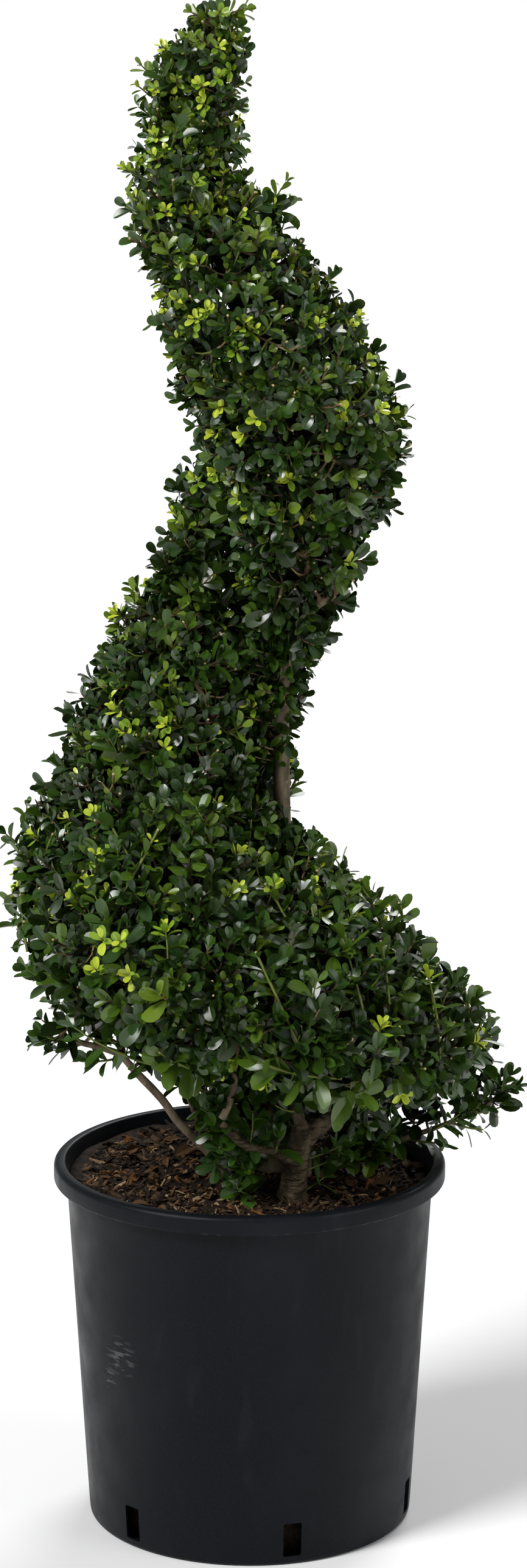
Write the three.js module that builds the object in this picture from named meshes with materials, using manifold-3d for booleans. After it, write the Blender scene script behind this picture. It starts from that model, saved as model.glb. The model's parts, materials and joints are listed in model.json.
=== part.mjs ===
// A spiral topiary in a nursery pot: a small-leaved box shrub, clipped as one ribbon of foliage that
// winds down round its trunk. Millimetres, +Z up, the front is -Y.
// The origin is the middle of the pot's flat underside.
import * as THREE from "three";
import { mergeVertices } from "three/addons/utils/BufferGeometryUtils.js";
import Module from "manifold-3d";

const wasm = await Module();
wasm.setup();

// ---- Driving dimensions -------------------------------------------------------------------------

const FIT_GAP = 0.4; // what touching pieces keep between them

// Pot
const POT_HEIGHT = 377;
const RIM_RADIUS = 200;
const RIM_DEPTH = 19;
const RIM_LIP = 12; // how wide the rolled rim is on top
const WALL = 3;
const NECK_RADIUS = RIM_RADIUS - RIM_LIP - 1; // the body just under the rim
const FOOT_RADIUS = 166;
const FOOT_ROUND = 5;
const FLOOR = 5;
const POT_SIDES = 54;
const SLOT_COUNT = 6;
const SLOT_FIRST_DEG = -75; // the first drain slot's bearing, from +X
const SLOT_WIDTH = 19;
const SLOT_BOTTOM = 9;
const SLOT_TOP = 45;

// Potting mix
const SOIL_TOP = 355;
const SOIL_DIP = 5;
const SOIL_RINGS = 5;
const SOIL_SIDES = 30;
const SOIL_FLAT = 92; // inside this radius the surface is level, where the stems stand

// Ribbon of foliage. Its bearing grows as it winds down: 180 is left, 270 front, 360 right, 450 back.
// At each station: the height where its top leaves the core, the height and reach of its crest,
// and the height where its underside comes back to the core. A slope or belly of 1 is straight, 2 round.
const RIBBON = [
  { bearing: -20, upper: 1534, crest: 1502, reach: 38, lower: 1452, slope: 1.3, belly: 1.3 },
  { bearing: 90, upper: 1540, crest: 1480, reach: 66, lower: 1385, slope: 1.7, belly: 1.2 },
  { bearing: 150, upper: 1528, crest: 1430, reach: 88, lower: 1240, slope: 1.5, belly: 1.2 },
  { bearing: 180, upper: 1510, crest: 1366, reach: 91, lower: 1120, slope: 1.6, belly: 1.1 },
  { bearing: 215, upper: 1452, crest: 1300, reach: 104, lower: 1010, slope: 1.4, belly: 1.1 },
  { bearing: 270, upper: 1392, crest: 1226, reach: 142, lower: 925, slope: 1.3, belly: 1.2 },
  { bearing: 330, upper: 1380, crest: 1136, reach: 180, lower: 870, slope: 1.25, belly: 1.1 },
  { bearing: 360, upper: 1384, crest: 1088, reach: 172, lower: 800, slope: 1.3, belly: 1 },
  { bearing: 395, upper: 1330, crest: 985, reach: 120, lower: 740, slope: 1.3, belly: 1 },
  { bearing: 450, upper: 1205, crest: 850, reach: 180, lower: 622, slope: 1.1, belly: 1.3 },
  { bearing: 495, upper: 1130, crest: 752, reach: 228, lower: 520, slope: 1.1, belly: 1.5 },
  { bearing: 540, upper: 1094, crest: 662, reach: 256, lower: 500, slope: 1.15, belly: 2 },
  { bearing: 590, upper: 930, crest: 618, reach: 250, lower: 478, slope: 1.3, belly: 2 },
  { bearing: 630, upper: 758, crest: 586, reach: 240, lower: 462, slope: 1.3, belly: 2 },
  { bearing: 690, upper: 744, crest: 512, reach: 244, lower: 425, slope: 1.25, belly: 2 },
  { bearing: 720, upper: 714, crest: 494, reach: 240, lower: 408, slope: 1.3, belly: 2 },
  { bearing: 810, upper: 598, crest: 472, reach: 208, lower: 400, slope: 1.3, belly: 2 },
  { bearing: 850, upper: 512, crest: 448, reach: 172, lower: 406, slope: 1.3, belly: 2 },
];
const RIBBON_START = -20;
const RIBBON_END = 850;
const MASSES = 15;
const MASS_GAP_DEG = 0.5;
const MASS_STEPS = 5;
const UPPER_STEPS = 5; // points down the upper slope, and then down the underside
const UNDER_STEPS = 5;
const CORE_RADIUS = 22; // the bare core that the ribbon winds round
const CORE_RADIUS_TOP = 10;
const LUMP = 7; // how far the clipped face swells and dips
const AXIS_TOP = [-38, 1497]; // the axis leans to the left: its x up there, and the height
const AXIS_LEAN = 0.07;
const AXIS_LIMIT = 10;

// Two leafy patches on the low shoot at the right: middle, half sizes, slope along the shoot
const LOW_MASSES = {
  low_foliage: { middle: [128, 10, 388], half: [40, 30, 15], slope: 0.1 },
  tip_foliage: { middle: [236, 20, 425], half: [40, 26, 21], slope: 0.3 },
};

// ---- Shapes shared by the pieces ----------------------------------------------------------------

const rad = THREE.MathUtils.degToRad;
const v3 = (p) => new THREE.Vector3(...p);

// A closed geometry as a manifold-3d solid.
function solidOf(geometry) {
  const bare = geometry.clone();
  for (const name of ["normal", "uv", "color"]) bare.deleteAttribute(name);
  const merged = mergeVertices(bare, 1e-4);
  return new wasm.Manifold(
    new wasm.Mesh({
      numProp: 3,
      vertProperties: new Float32Array(merged.attributes.position.array),
      triVerts: new Uint32Array(merged.index.array),
    }),
  );
}

// A manifold-3d solid as a geometry: its largest body, so that a cut leaves no crumbs.
function geometryOf(solid) {
  const bodies = solid.decompose().sort((a, b) => b.volume() - a.volume());
  const mesh = bodies[0].getMesh();
  const geometry = new THREE.BufferGeometry();
  geometry.setAttribute("position", new THREE.BufferAttribute(new Float32Array(mesh.vertProperties), 3));
  geometry.setIndex(new THREE.BufferAttribute(new Uint32Array(mesh.triVerts), 1));
  geometry.computeVertexNormals();
  return geometry;
}

// Rings of points joined into one closed skin, with a flat fan over each end.
function skin(rings) {
  const sides = rings[0].length;
  const points = rings.flat();
  const faces = [];
  for (let i = 0; i + 1 < rings.length; i++) {
    for (let k = 0; k < sides; k++) {
      const a = i * sides + k;
      const b = i * sides + ((k + 1) % sides);
      faces.push(a, b, b + sides, a, b + sides, a + sides);
    }
  }
  for (const [start, turn] of [[0, 1], [(rings.length - 1) * sides, 0]]) {
    const middle = points.length;
    const ring = points.slice(start, start + sides);
    points.push(ring.reduce((sum, p) => sum.clone().add(p), new THREE.Vector3()).divideScalar(sides));
    for (let k = 0; k < sides; k++) {
      const pair = [start + k, start + ((k + 1) % sides)];
      faces.push(middle, pair[turn], pair[1 - turn]);
    }
  }
  const geometry = new THREE.BufferGeometry().setFromPoints(points);
  geometry.setIndex(faces);
  geometry.computeVertexNormals();
  return geometry;
}

// One tapering limb along a smooth curve. A grounded one starts with a flat, level cut and a flare.
function limb({ path, from, to, sides = 6, steps = 8, flare = 0, grounded = false, grow = 0 }) {
  const curve = new THREE.CatmullRomCurve3(path.map(v3), false, "centripetal");
  const rings = [];
  for (let i = 0; i <= steps; i++) {
    const t = i / steps;
    const centre = curve.getPointAt(t);
    const ahead = grounded && i === 0 ? new THREE.Vector3(0, 0, 1) : curve.getTangentAt(t);
    const spin = new THREE.Quaternion().setFromUnitVectors(new THREE.Vector3(0, 0, 1), ahead);
    const rootward = Math.max(0, 1 - t * steps) + 0.25 * Math.max(0, 1 - (t * steps) / 2);
    const radius = THREE.MathUtils.lerp(from, to, t) + flare * Math.min(1, rootward) + grow;
    const ring = [];
    for (let k = 0; k < sides; k++) {
      const a = (2 * Math.PI * k) / sides;
      const lobe = 1 + (flare ? 0.1 * Math.min(1, rootward) * Math.sin(3 * a) : 0);
      const spoke = new THREE.Vector3(radius * lobe * Math.cos(a), radius * lobe * Math.sin(a), 0);
      ring.push(spoke.applyQuaternion(spin).add(centre));
    }
    rings.push(ring);
  }
  return skin(rings);
}

// ---- Pot ----------------------------------------------------------------------------------------

const potInside = (z) => FOOT_RADIUS - WALL + ((NECK_RADIUS - FOOT_RADIUS) / (POT_HEIGHT - RIM_DEPTH)) * z;

function pot() {
  const under = POT_HEIGHT - RIM_DEPTH;
  const profile = [
    [0, 0],
    [FOOT_RADIUS - FOOT_ROUND, 0],
    [FOOT_RADIUS - 0.3 * FOOT_ROUND, 0.3 * FOOT_ROUND],
    [FOOT_RADIUS, FOOT_ROUND],
    [NECK_RADIUS, under],
    [RIM_RADIUS - 2, under],
    [RIM_RADIUS, under + 3],
    [RIM_RADIUS, POT_HEIGHT - 5],
    [RIM_RADIUS - 4, POT_HEIGHT],
    [RIM_RADIUS - RIM_LIP + 1, POT_HEIGHT],
    [potInside(POT_HEIGHT) - 1, POT_HEIGHT - 3],
    [potInside(FLOOR), FLOOR],
    [0, FLOOR],
  ].map(([r, z]) => new THREE.Vector2(r, z));
  const shell = new THREE.LatheGeometry(profile, POT_SIDES).rotateX(Math.PI / 2);
  let made = solidOf(shell);
  for (let k = 0; k < SLOT_COUNT; k++) {
    const tall = SLOT_TOP - SLOT_BOTTOM;
    const cutter = new THREE.BoxGeometry(40, SLOT_WIDTH, tall);
    cutter.translate(FOOT_RADIUS, 0, SLOT_BOTTOM + tall / 2);
    cutter.rotateZ(rad(SLOT_FIRST_DEG + (360 / SLOT_COUNT) * k));
    made = made.subtract(solidOf(cutter));
  }
  return geometryOf(made);
}

// ---- Potting mix --------------------------------------------------------------------------------

const soilRadius = (z) => potInside(z) - FIT_GAP;

// The surface is level where the stems stand and dips unevenly towards the pot's wall.
function soilHeight(r, a) {
  const share = THREE.MathUtils.clamp((r - SOIL_FLAT) / (soilRadius(SOIL_TOP) - SOIL_FLAT), 0, 1);
  return SOIL_TOP - SOIL_DIP * share * (0.55 + 0.3 * Math.sin(3 * a + 1) + 0.15 * Math.sin(7 * a));
}

function soil() {
  const foot = FLOOR + FIT_GAP;
  const ring = (r, height) =>
    Array.from({ length: SOIL_SIDES }, (_, k) => {
      const a = (2 * Math.PI * k) / SOIL_SIDES;
      return new THREE.Vector3(r * Math.cos(a), r * Math.sin(a), height(r, a));
    });
  // The wall is wider higher up, and a facet's middle lies inside its corners by this share.
  const chord = Math.cos(Math.PI / POT_SIDES);
  const rings = [ring(soilRadius(foot) * chord - 1, () => foot)];
  const edge = soilRadius(SOIL_TOP - SOIL_DIP) * chord - 1;
  for (let i = 0; i < SOIL_RINGS; i++) {
    rings.push(ring(edge + (SOIL_FLAT - edge) * (i / (SOIL_RINGS - 1)), soilHeight));
  }
  return skin(rings);
}

// ---- Trunk, stems and boughs --------------------------------------------------------------------

const GROUND = SOIL_TOP + FIT_GAP; // where the stems are cut level

// Each limb runs from its thick end, and starts inside the one that it grows from.
const LIMBS = {
  trunk: {
    path: [
      [24, 32, GROUND], [27, 31, 420], [30, 29, 550], [33, 18, 700], [32, 10, 845], [38, 12, 912],
      [33, 26, 1000], [6, 26, 1130], [-18, 18, 1270], [-30, 12, 1400], [-34, 8, 1480], [-32, 4, 1524],
    ],
    from: 12, to: 1.8, flare: 7, grounded: true, sides: 8, steps: 22,
  },
  front_stem: {
    path: [[43, -67, GROUND], [46, -72, 385], [52, -82, 424], [55, -86, 436]],
    from: 12.5, to: 11, flare: 4, grounded: true, sides: 9, steps: 6,
  },
  cut_stub: { path: [[55, -82, 421], [72, -72, 434], [92, -60, 447]], from: 9.5, to: 8.6, steps: 4 },
  front_bough: {
    path: [[53, -86, 428], [48, -88, 452], [43, -86, 478], [42, -84, 500]], from: 6.5, to: 4.6, steps: 6,
  },
  elbow_bough_low: {
    path: [[44, -80, 398], [20, -98, 414], [-6, -108, 424], [-27, -112, 447]], from: 5, to: 4, steps: 7,
  },
  elbow_bough_up: {
    path: [[-27, -112, 452], [-19, -112, 470], [-13, -113, 500], [-13, -114, 540]],
    from: 3.8, to: 3, steps: 5,
  },
  long_stem: {
    path: [
      [-15, -51, GROUND], [-34, -60, 392], [-70, -70, 434],
      [-88, -76, 462], [-110, -82, 488], [-126, -86, 508],
    ],
    from: 5.6, to: 4.2, flare: 1.5, grounded: true, steps: 10,
  },
  long_stem_fork: {
    path: [[-127, -88, 511], [-150, -92, 520], [-190, -96, 531]],
    from: 3.6, to: 2.4, steps: 5,
  },
  left_stem: {
    path: [[2, 34, GROUND], [-14, 36, 400], [-36, 38, 448], [-50, 42, 500], [-58, 46, 540]],
    from: 8, to: 6.2, flare: 3, grounded: true, sides: 8, steps: 9,
  },
  back_left_stem: {
    path: [[-20, 20, GROUND], [-34, 30, 400], [-52, 40, 452], [-66, 44, 510]],
    from: 4.6, to: 3.6, flare: 1.5, grounded: true, steps: 8,
  },
  thin_stem: {
    path: [[-36, 30, GROUND], [-52, 34, 400], [-70, 36, 452], [-84, 40, 520]],
    from: 2.6, to: 2, flare: 0.8, grounded: true, steps: 7,
  },
  green_shoot: {
    path: [[-1, -56, GROUND], [-9, -60, 390], [-20, -64, 425], [-18, -70, 470], [-10, -76, 520]],
    from: 3, to: 2.2, grounded: true, steps: 8,
  },
  right_stem: {
    path: [[62, 40, GROUND], [84, 52, 378], [104, 56, 404], [124, 58, 424], [146, 60, 446]],
    from: 5.5, to: 3.8, flare: 2, grounded: true, steps: 8,
  },
  upright_stem: {
    path: [[58, 6, GROUND], [62, 4, 400], [67, 2, 448]],
    from: 4.2, to: 3.2, flare: 1.5, grounded: true, steps: 6,
  },
  low_shoot: {
    path: [[72, 8, GROUND], [104, 12, 372], [150, 16, 388], [190, 20, 402], [230, 22, 418], [268, 24, 444]],
    from: 4, to: 1.6, flare: 1, grounded: true, steps: 12,
  },
  fork_bough: {
    path: [[39, 10, 914], [54, 2, 936], [70, -6, 952], [84, -12, 962]],
    from: 5.2, to: 4, steps: 5,
  },
};

const barkLimb = (name, grow = 0) => limb({ ...LIMBS[name], grow });

// ---- Ribbon of foliage --------------------------------------------------------------------------

// A station between two of RIBBON's, on a smooth curve through them.
function station(bearing) {
  const after = Math.max(1, RIBBON.findIndex((s) => s.bearing >= bearing));
  const near = [after - 2, after - 1, after, after + 1].map(
    (i) => RIBBON[THREE.MathUtils.clamp(i, 0, RIBBON.length - 1)],
  );
  const t = (bearing - near[1].bearing) / (near[2].bearing - near[1].bearing);
  const made = {};
  for (const key of Object.keys(RIBBON[0])) {
    const [a, b, c, d] = near.map((s) => s[key]);
    const ease = t * t * (3 - 2 * t);
    const leaving = (t * (1 - t) ** 2 * (c - a)) / 2;
    const arriving = (t * t * (1 - t) * (d - b)) / 2;
    made[key] = b + (c - b) * ease + leaving - arriving;
  }
  return made;
}

const axisX = (z) => Math.min(AXIS_LIMIT, AXIS_TOP[0] + AXIS_LEAN * (AXIS_TOP[1] - z));

// The clipped face swells and dips a little, differently all the way along.
function lump(bearing, z) {
  const a = rad(bearing);
  const broad = 0.5 * Math.sin(5.3 * a + z / 31);
  const narrow = 0.3 * Math.sin(11.7 * a - z / 17) + 0.2 * Math.cos(z / 9);
  return LUMP * (broad + narrow);
}

// A cut through the ribbon at one bearing: the core side, the upper slope, the crest, the underside.
function section(bearing) {
  const { upper, crest, reach, lower, slope, belly } = station(bearing);
  const rise = THREE.MathUtils.clamp((upper - 1250) / 290, 0, 1);
  const core = Math.min(THREE.MathUtils.lerp(CORE_RADIUS, CORE_RADIUS_TOP, rise), reach - 12);
  const outline = [];
  for (let i = 0; i <= UPPER_STEPS; i++) {
    const t = (Math.PI / 2) * (i / UPPER_STEPS);
    outline.push([
      core + (reach - core) * Math.sin(t) ** (2 / slope),
      crest + (upper - crest) * Math.cos(t) ** (2 / slope),
    ]);
  }
  for (let i = 1; i <= UNDER_STEPS; i++) {
    const t = (Math.PI / 2) * (i / UNDER_STEPS);
    outline.push([
      core + (reach - core) * Math.cos(t) ** (2 / belly),
      crest - (crest - lower) * Math.sin(t) ** (2 / belly),
    ]);
  }
  const a = rad(bearing);
  return outline.map(([r, z]) => {
    const out = r + lump(bearing, z) * Math.min(1, (r - core) / 40);
    return new THREE.Vector3(axisX(z) + out * Math.cos(a), out * Math.sin(a), z);
  });
}

function foliage(index) {
  const span = (RIBBON_END - RIBBON_START) / MASSES;
  const first = RIBBON_START + span * index + MASS_GAP_DEG / 2;
  const last = RIBBON_START + span * (index + 1) - MASS_GAP_DEG / 2;
  const rings = [];
  for (let i = 0; i <= MASS_STEPS; i++) rings.push(section(first + ((last - first) * i) / MASS_STEPS));
  return skin(rings);
}

// A low, flattened patch of foliage that follows the slope of its shoot.
function lowMass({ middle, half, slope }) {
  const ball = new THREE.IcosahedronGeometry(1, 2);
  const spots = ball.attributes.position;
  for (let i = 0; i < spots.count; i++) {
    const p = new THREE.Vector3().fromBufferAttribute(spots, i);
    const uneven = 1 + 0.1 * Math.sin(5 * p.x + 3 * p.y) * Math.cos(4 * p.z + 2 * p.x);
    const [x, y, z] = [p.x, p.y, p.z].map((c, axis) => c * half[axis] * uneven);
    spots.setXYZ(i, middle[0] + x, middle[1] + y, middle[2] + z + slope * x);
  }
  return ball;
}

// ---- The assembly -------------------------------------------------------------------------------

const paint = (color, roughness) => new THREE.MeshStandardMaterial({ color, roughness, metalness: 0 });
const FINISH = {
  plastic: paint(0x202327, 0.5),
  mix: paint(0x3a281b, 0.95),
  bark: paint(0x786a55, 0.8),
  shoot: paint(0x5f7a2c, 0.6),
  leaf: paint(0x24401d, 0.4),
};

const topiary = new THREE.Group();

function add(name, geometry, material) {
  const mesh = new THREE.Mesh(geometry, material);
  mesh.name = name;
  topiary.add(mesh);
}

add("pot", pot(), FINISH.plastic);
add("potting_mix", soil(), FINISH.mix);

// Each limb is cut back from those listed before it, and each mass from all of them.
const wood = [];
for (const name of Object.keys(LIMBS)) {
  const finish = name === "green_shoot" ? FINISH.shoot : FINISH.bark;
  add(name, geometryOf(wasm.Manifold.difference([solidOf(barkLimb(name)), ...wood])), finish);
  wood.push(solidOf(barkLimb(name, FIT_GAP)));
}
for (let i = 0; i < MASSES; i++) {
  const mass = wasm.Manifold.difference([solidOf(foliage(i)), ...wood]);
  add("foliage_" + String(i + 1).padStart(2, "0"), geometryOf(mass), FINISH.leaf);
}
for (const [name, sizes] of Object.entries(LOW_MASSES)) {
  const mass = wasm.Manifold.difference([solidOf(lowMass(sizes)), ...wood]);
  add(name, geometryOf(mass), FINISH.leaf);
}

export default topiary;
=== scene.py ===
import json
import math

import bpy
import numpy as np
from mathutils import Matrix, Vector, kdtree, noise
from mathutils.bvhtree import BVHTree

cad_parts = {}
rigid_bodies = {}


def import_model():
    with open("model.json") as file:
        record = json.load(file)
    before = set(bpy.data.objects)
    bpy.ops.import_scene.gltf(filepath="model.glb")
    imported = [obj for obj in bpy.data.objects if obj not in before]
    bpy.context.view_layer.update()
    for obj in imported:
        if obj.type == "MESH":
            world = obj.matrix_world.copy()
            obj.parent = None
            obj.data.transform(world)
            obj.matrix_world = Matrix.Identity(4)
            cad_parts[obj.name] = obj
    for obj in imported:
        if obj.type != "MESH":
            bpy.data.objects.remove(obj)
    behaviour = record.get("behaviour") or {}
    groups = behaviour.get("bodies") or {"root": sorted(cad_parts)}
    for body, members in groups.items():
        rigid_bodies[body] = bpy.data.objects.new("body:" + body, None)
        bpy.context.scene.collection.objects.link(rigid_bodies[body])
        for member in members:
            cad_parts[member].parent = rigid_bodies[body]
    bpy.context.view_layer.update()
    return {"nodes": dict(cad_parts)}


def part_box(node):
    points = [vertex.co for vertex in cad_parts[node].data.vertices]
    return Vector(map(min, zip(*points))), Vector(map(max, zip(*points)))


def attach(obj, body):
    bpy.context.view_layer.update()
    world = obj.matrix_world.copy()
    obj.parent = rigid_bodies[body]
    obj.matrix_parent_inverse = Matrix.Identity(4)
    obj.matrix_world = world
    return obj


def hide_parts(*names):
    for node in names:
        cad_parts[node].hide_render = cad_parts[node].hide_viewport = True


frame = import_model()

# A spiral topiary in a nursery pot, in metres, +Z up, the front is -Y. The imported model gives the
# pot, the stems and the closed foliage masses. Here each mass is grown full of twigs and leaves.

RANDOM = np.random.default_rng(20)
MM = 0.001
UP = np.array([0.0, 0.0, 1.0])

# ---- Sizes --------------------------------------------------------------------------------------

# The stems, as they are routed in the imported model: millimetres, each from its thick end.
GROUND = 355.4
LIMBS = {
    "trunk": dict(
        path=[(24, 32, GROUND), (27, 31, 420), (30, 29, 550), (33, 18, 700), (32, 10, 845),
              (38, 12, 912), (33, 26, 1000), (6, 26, 1130), (-18, 18, 1270), (-30, 12, 1400),
              (-34, 8, 1480), (-32, 4, 1524)],
        radii=(12, 1.8), flare=7),
    "front_stem": dict(path=[(43, -67, GROUND), (46, -72, 385), (52, -82, 424), (55, -86, 436)],
                       radii=(12.5, 11), flare=4),
    "cut_stub": dict(path=[(55, -82, 421), (72, -72, 434), (92, -60, 447)], radii=(9.5, 8.6)),
    "front_bough": dict(path=[(53, -86, 428), (48, -88, 452), (43, -86, 478), (42, -84, 500)],
                        radii=(6.5, 4.6)),
    "elbow_bough_low": dict(path=[(44, -80, 398), (20, -98, 414), (-6, -108, 424), (-27, -112, 447)],
                            radii=(5, 4)),
    "elbow_bough_up": dict(path=[(-27, -112, 452), (-19, -112, 470), (-13, -113, 500), (-13, -114, 540)],
                           radii=(3.8, 3)),
    "long_stem": dict(path=[(-15, -51, GROUND), (-34, -60, 392), (-70, -70, 434), (-88, -76, 462),
                            (-110, -82, 488), (-126, -86, 508)], radii=(4.9, 3.7), flare=1.3),
    "long_stem_fork": dict(path=[(-127, -88, 511), (-150, -92, 520), (-190, -96, 531)], radii=(3.6, 2.4)),
    "left_stem": dict(path=[(2, 34, GROUND), (-14, 36, 400), (-36, 38, 448), (-50, 42, 500), (-58, 46, 540)],
                      radii=(8, 6.2), flare=3),
    "back_left_stem": dict(path=[(-20, 20, GROUND), (-34, 30, 400), (-52, 40, 452), (-66, 44, 510)],
                           radii=(4.6, 3.6), flare=1.5),
    "thin_stem": dict(path=[(-36, 30, GROUND), (-52, 34, 400), (-70, 36, 452), (-84, 40, 520)],
                      radii=(2.6, 2), flare=0.8),
    "green_shoot": dict(path=[(-1, -56, GROUND), (-9, -60, 390), (-20, -64, 425), (-18, -70, 470),
                              (-10, -76, 520)], radii=(3, 2.2)),
    "right_stem": dict(path=[(62, 40, GROUND), (84, 52, 378), (104, 56, 404), (124, 58, 424), (146, 60, 446)],
                       radii=(5.5, 3.8), flare=2),
    "upright_stem": dict(path=[(58, 6, GROUND), (62, 4, 400), (67, 2, 448)], radii=(4.2, 3.2), flare=1.5),
    "low_shoot": dict(path=[(72, 8, GROUND), (104, 12, 372), (150, 16, 388), (190, 20, 402), (230, 22, 418),
                            (268, 24, 444)], radii=(4, 1.6), flare=1),
    "fork_bough": dict(path=[(39, 10, 914), (54, 2, 936), (70, -6, 952), (84, -12, 962)], radii=(5.2, 4)),
}

LEAF_LENGTH = 0.0205  # a grown leaf, at its commonest
LEAF_ASPECT = 0.56
SHOOT_SPACING = 0.0138
SHOOT_LEAFY = 0.058  # how much of a shoot's end carries leaves
LEAF_STEP = 0.0082  # between one pair of leaves and the next
BRANCH_SPACING = 0.030
BRANCH_DEPTH = 0.018  # the boughs keep this far under the clipped face
PIECE_LEAVES = 9500
POINT_DATA = ("thickness", "facing", "along", "size", "shape")  # what the node trees read at each point

# How many random places each search starts with.
BOUGH_TRIES = 60000
FACE_TRIES = 40000
LONG_TRIES = 8000
TRUNK_TRIES = 1500

LONG_SHOOTS = 60
LONG_SPACING = 0.045
LONG_ROOT = 0.004  # a long shoot starts at least this deep in the foliage
FALLEN = 60

# ---- Small helpers ------------------------------------------------------------------------------


def length_of(v):
    return np.linalg.norm(v, axis=-1, keepdims=True)


def unit(v):
    return v / np.maximum(length_of(v), 1e-9)


def square_to(axis, v):
    """What is left of each v square to its axis, one unit long."""
    return unit(v - axis * np.sum(v * axis, axis=1, keepdims=True))


def rise(value, start, over):
    """0 up to start, 1 from start + over on."""
    return np.clip((value - start) / over, 0, 1)


def fall(value, start, over):
    """1 down to start - over, 0 from start on."""
    return np.clip((start - value) / over, 0, 1)


def picked(which, *arrays):
    return [a[which] for a in arrays]


def smooth_path(points, step):
    """Points every step metres along a smooth curve through the given ones."""
    p = np.array(points, float)
    ends = np.vstack([2 * p[0] - p[1], p, 2 * p[-1] - p[-2]])
    t = np.linspace(0, 1, 12, endpoint=False)[:, None]
    dense = [
        0.5 * (2 * b + (c - a) * t + (2 * a - 5 * b + 4 * c - d) * t**2 + (3 * b - a - 3 * c + d) * t**3)
        for a, b, c, d in zip(ends, ends[1:], ends[2:], ends[3:])
    ]
    dense = np.vstack(dense + [p[-1:]])
    run = np.r_[0, np.cumsum(np.linalg.norm(np.diff(dense, axis=0), axis=1))]
    count = max(3, int(run[-1] / step) + 1)
    at = np.linspace(0, run[-1], count)
    return np.column_stack([np.interp(at, run, dense[:, k]) for k in range(3)])


def new_object(name, mesh):
    made = bpy.data.objects.new(name, mesh)
    bpy.context.scene.collection.objects.link(made)
    return made


def mesh_object(name, verts, faces, material=None, edges=()):
    mesh = bpy.data.meshes.new(name)
    mesh.from_pydata([tuple(v) for v in verts], list(edges), [tuple(f) for f in faces])
    mesh.update()
    if material:
        mesh.materials.append(material)
    return new_object(name, mesh)


def smooth_shading(obj, smooth=True):
    obj.data.polygons.foreach_set("use_smooth", [smooth] * len(obj.data.polygons))
    return obj


def settle(obj):
    """The object with its modifiers worked out: a plain mesh of the same name."""
    bpy.context.view_layer.update()
    graph = bpy.context.evaluated_depsgraph_get()
    shown = obj.evaluated_get(graph)
    mesh = bpy.data.meshes.new_from_object(shown, preserve_all_data_layers=True, depsgraph=graph)
    obj.modifiers.clear()
    old = obj.data
    obj.data = mesh
    mesh.name = obj.name
    if old.users == 0:
        bpy.data.meshes.remove(old)
    for layer in [a.name for a in mesh.attributes if a.name in POINT_DATA]:
        mesh.attributes.remove(mesh.attributes[layer])
    return obj


def circle(radius, z, sides):
    turns = (2 * math.pi * k / sides for k in range(sides))
    return [(radius * math.cos(a), radius * math.sin(a), z) for a in turns]


def belt(low, high, sides, inward=False):
    """Faces between two rings of points, given the numbers of the rings' first points."""
    after = [(k + 1) % sides for k in range(sides)]
    faces = [(low + k, low + n, high + n, high + k) for k, n in enumerate(after)]
    return [(a, d, c, b) for a, b, c, d in faces] if inward else faces


def keep(piece, slot, *nodes):
    """The finished piece rides on the one body and stands for these nodes, which it hides. slot is not used.
    """
    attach(piece, "root")
    if nodes:
        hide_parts(*nodes)
    return piece


def add_node(tree, kind, given, **settings):
    """A node with these settings. given says what each input gets: a value, or a socket to link."""
    node = tree.nodes.new(kind)
    for label, value in settings.items():
        setattr(node, label, value)
    for label, value in given.items():
        if isinstance(value, bpy.types.NodeSocket):
            tree.links.new(value, node.inputs[label])
        else:
            node.inputs[label].default_value = value
    return node


# ---- Shader groups and materials ----------------------------------------------------------------


def shader_group(name, inputs):
    group = bpy.data.node_groups.new(name, "ShaderNodeTree")
    for label, value in inputs.items():
        kind = "NodeSocketVector" if isinstance(value, tuple) else "NodeSocketFloat"
        group.interface.new_socket(name=label, in_out="INPUT", socket_type=kind).default_value = value
    group.interface.new_socket(name="Mask", in_out="OUTPUT", socket_type="NodeSocketFloat")
    return group, group.nodes.new("NodeGroupInput").outputs


def build_patches():
    """Soft-edged patches: 0 outside, 1 inside, more of them as Cover rises."""
    group, given = shader_group(
        "patches", {"Vector": (0.0, 0.0, 0.0), "Scale": 20.0, "Cover": 0.5, "Softness": 0.1})
    cloud = add_node(group, "ShaderNodeTexNoise", {
        "Vector": given["Vector"], "Scale": given["Scale"], "Detail": 5.0})
    low = add_node(group, "ShaderNodeMath", {0: 1.0, 1: given["Cover"]}, operation="SUBTRACT")
    top = add_node(group, "ShaderNodeMath", {0: low.outputs[0], 1: given["Softness"]}, operation="ADD")
    ramp = add_node(group, "ShaderNodeMapRange", {
        "Value": cloud.outputs["Fac"], "From Min": low.outputs[0], "From Max": top.outputs[0],
    }, interpolation_type="SMOOTHSTEP")
    add_node(group, "NodeGroupOutput", {"Mask": ramp.outputs["Result"]})
    return group


def build_specks():
    """Small round specks scattered over a surface."""
    group, given = shader_group("specks", {"Vector": (0.0, 0.0, 0.0), "Scale": 200.0, "Size": 0.12})
    cells = add_node(group, "ShaderNodeTexVoronoi", {"Vector": given["Vector"], "Scale": given["Scale"]})
    small = add_node(group, "ShaderNodeMath", {
        0: cells.outputs["Distance"], 1: given["Size"]}, operation="LESS_THAN")
    few = add_node(group, "ShaderNodeMath", {0: cells.outputs["Color"], 1: 0.72}, operation="GREATER_THAN")
    both = add_node(group, "ShaderNodeMath", {0: small.outputs[0], 1: few.outputs[0]}, operation="MULTIPLY")
    add_node(group, "NodeGroupOutput", {"Mask": both.outputs[0]})
    return group


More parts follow.
